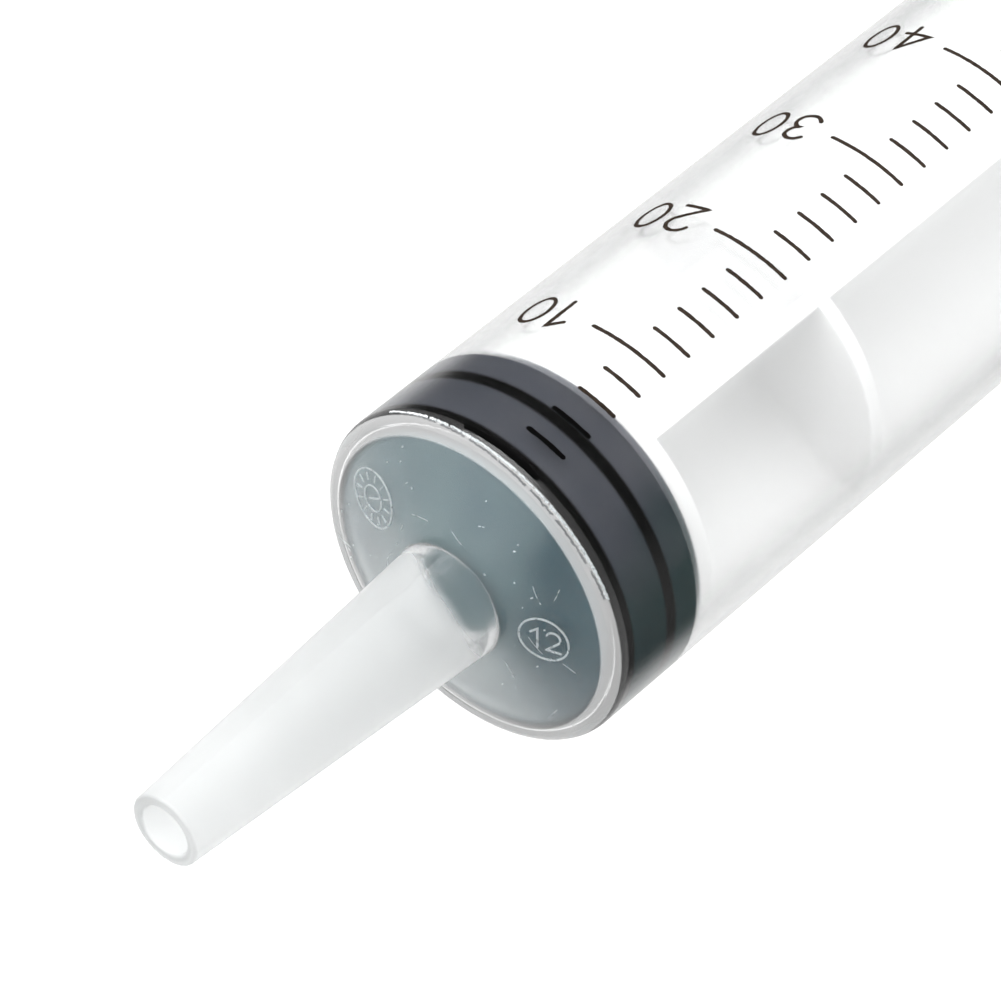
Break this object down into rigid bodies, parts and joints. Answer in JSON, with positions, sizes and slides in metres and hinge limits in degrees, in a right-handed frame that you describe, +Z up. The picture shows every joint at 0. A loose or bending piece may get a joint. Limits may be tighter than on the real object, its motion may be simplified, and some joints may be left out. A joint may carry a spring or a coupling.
{
  "type": "disposable syringe",
  "caption": "Disposable syringe with a long tapered catheter nozzle, clear hazy barrel with finger flange, dark rubber stopper and cross-vaned plunger, pushed fully in.",
  "frame": {"origin": "on the surface that the syringe lies on, under the middle of its overall length", "axes": "+X along the syringe's axis from the nozzle's tip to the thumb rest, +Y across the flange's wings, +Z up"},
  "size_m": [0.1618, 0.052, 0.0312],
  "materials": {
    "clear_polypropylene": "clear hazy moulded polypropylene",
    "dark_rubber": "smooth, slightly oiled",
    "white_polypropylene": "whitish translucent moulded polypropylene"
  },
  "bodies": {
    "barrel": {"barrel": "clear_polypropylene"},
    "stopper": {"stopper": "dark_rubber"},
    "plunger_rod": {"plunger_rod": "white_polypropylene"}
  },
  "joints": [
    {"name": "plunger_slide", "type": "slide", "parent": "barrel", "child": "stopper", "axis": [1, 0, 0], "range_m": [0, 0.097]},
    {"name": "rod_turn", "type": "hinge", "parent": "stopper", "child": "plunger_rod", "pos_m": [0.01604, 0, 0.0156], "axis": [1, 0, 0], "continuous": true}
  ]
}
